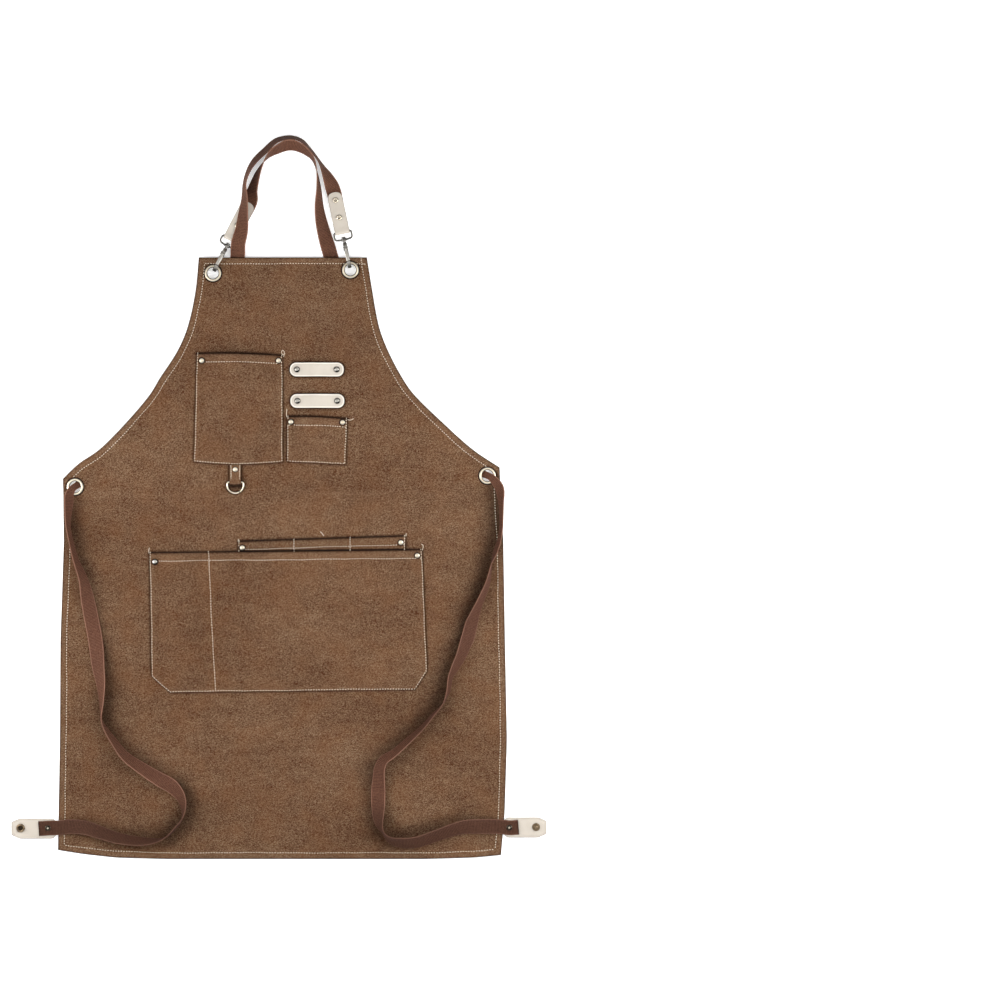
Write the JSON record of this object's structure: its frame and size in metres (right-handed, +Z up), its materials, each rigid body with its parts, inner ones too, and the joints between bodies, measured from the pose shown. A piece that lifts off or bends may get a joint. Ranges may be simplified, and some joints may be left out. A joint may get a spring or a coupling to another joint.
{
  "type": "waterproof apron",
  "caption": "Waxed canvas bib apron with riveted pockets, leather tool loops, a D-ring tab and webbing straps that clip on by swivel hooks and run behind the bib to waist ties",
  "frame": {"origin": "middle of the floor under the lying apron's bounding box", "axes": "+X to the right of the front as seen from above, +Y towards the neck, +Z up off the floor"},
  "size_m": [0.726, 0.9818, 0.0258],
  "materials": {
    "canvas": "waxed matte brown",
    "webbing": "ribbed red-brown",
    "pale_leather": "smooth off-white",
    "pale_brass": "polished pale brass",
    "dark_brass": "antique brass",
    "steel": "satin nickel",
    "label_cloth": "plain white"
  },
  "bodies": {
    "apron": {"apron_body": "canvas", "ring_tab": "canvas", "chest_pocket": "canvas", "small_pocket": "canvas", "tucked_pocket": "canvas", "lower_pocket": "canvas", "left_strap": "webbing", "right_strap": "webbing", "tool_loop_upper": "pale_leather", "tool_loop_lower": "pale_leather", "hook_tab_left": "pale_leather", "hook_tab_right": "pale_leather", "snap_tab_left": "pale_leather", "snap_tab_right": "pale_leather", "eyelet_top_left": "pale_brass", "eyelet_top_right": "pale_brass", "eyelet_waist_left": "pale_brass", "eyelet_waist_right": "pale_brass", "chest_pocket_rivet_left": "dark_brass", "chest_pocket_rivet_right": "dark_brass", "small_pocket_rivet_left": "dark_brass", "small_pocket_rivet_right": "dark_brass", "tucked_pocket_rivet_left": "dark_brass", "tucked_pocket_rivet_right": "dark_brass", "lower_pocket_rivet_left": "dark_brass", "lower_pocket_rivet_right": "dark_brass", "tool_loop_upper_rivet_left": "dark_brass", "tool_loop_upper_rivet_right": "dark_brass", "tool_loop_lower_rivet_left": "dark_brass", "tool_loop_lower_rivet_right": "dark_brass", "ring_tab_rivet": "dark_brass", "snap_tab_left_rivet": "dark_brass", "snap_tab_right_rivet": "dark_brass", "hook_tab_left_rivet_lower": "dark_brass", "hook_tab_left_rivet_upper": "dark_brass", "hook_tab_right_rivet_lower": "dark_brass", "hook_tab_right_rivet_upper": "dark_brass", "snap_socket": "dark_brass", "snap_stud": "dark_brass", "hook_left": "steel", "swivel_loop_left": "steel", "hook_right": "steel", "swivel_loop_right": "steel", "label": "label_cloth"},
    "ring": {"tool_ring": "pale_brass"},
    "gate_left": {"hook_gate_left": "steel"},
    "gate_right": {"hook_gate_right": "steel"}
  },
  "joints": [
    {"name": "tool_ring", "type": "hinge", "parent": "apron", "child": "ring", "pos_m": [-0.059, 0.0202, 0.00865], "axis": [-1, 0, 0], "range_deg": [0, 150]},
    {"name": "hook_gate_left", "type": "hinge", "parent": "apron", "child": "gate_left", "pos_m": [-0.07577, 0.32971, 0.0152], "axis": [0.8886, -0.4587, 0], "range_deg": [0, 17], "stiffness_Nm_per_rad": 0.02, "springref_deg": -17.19},
    {"name": "hook_gate_right", "type": "hinge", "parent": "apron", "child": "gate_right", "pos_m": [0.09092, 0.33675, 0.0152], "axis": [0.9778, 0.2096, 0], "range_deg": [0, 17], "stiffness_Nm_per_rad": 0.02, "springref_deg": -17.19}
  ]
}
